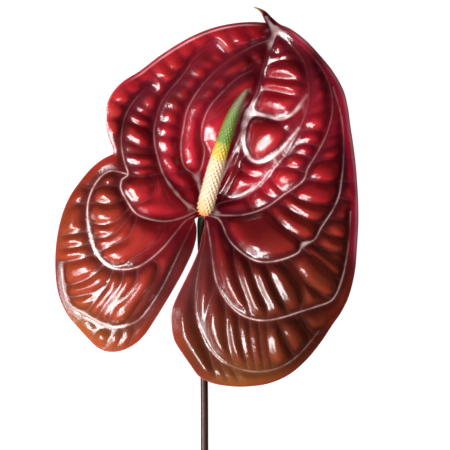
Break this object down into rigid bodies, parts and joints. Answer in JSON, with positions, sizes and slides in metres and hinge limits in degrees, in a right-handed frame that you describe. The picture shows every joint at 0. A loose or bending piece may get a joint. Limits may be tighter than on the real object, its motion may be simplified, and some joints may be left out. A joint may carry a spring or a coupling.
{
  "type": "cut anthurium stem",
  "caption": "Cut anthurium flower lying face up, with a quilted, heart-shaped spathe, a tapering spadix that leans up from its base, and a long leafless stalk.",
  "frame": {"origin": "centre of the bounding box's base, on the surface that the stem lies on", "axes": "+Z up from the surface, towards the spathe's face; +Y along the stem, from the stalk's cut end towards the spathe's tip; +X across the spathe, to the right when seen from above with +Y up"},
  "size_m": [0.1588, 0.4122, 0.0593],
  "materials": {
    "spathe": "waxy gloss, as on a fresh spathe",
    "spadix": "soft satin, cream below and green above",
    "peduncle": "smooth satin skin"
  },
  "bodies": {
    "root": {"spathe": "spathe", "spadix": "spadix", "peduncle": "peduncle"}
  },
  "joints": []
}
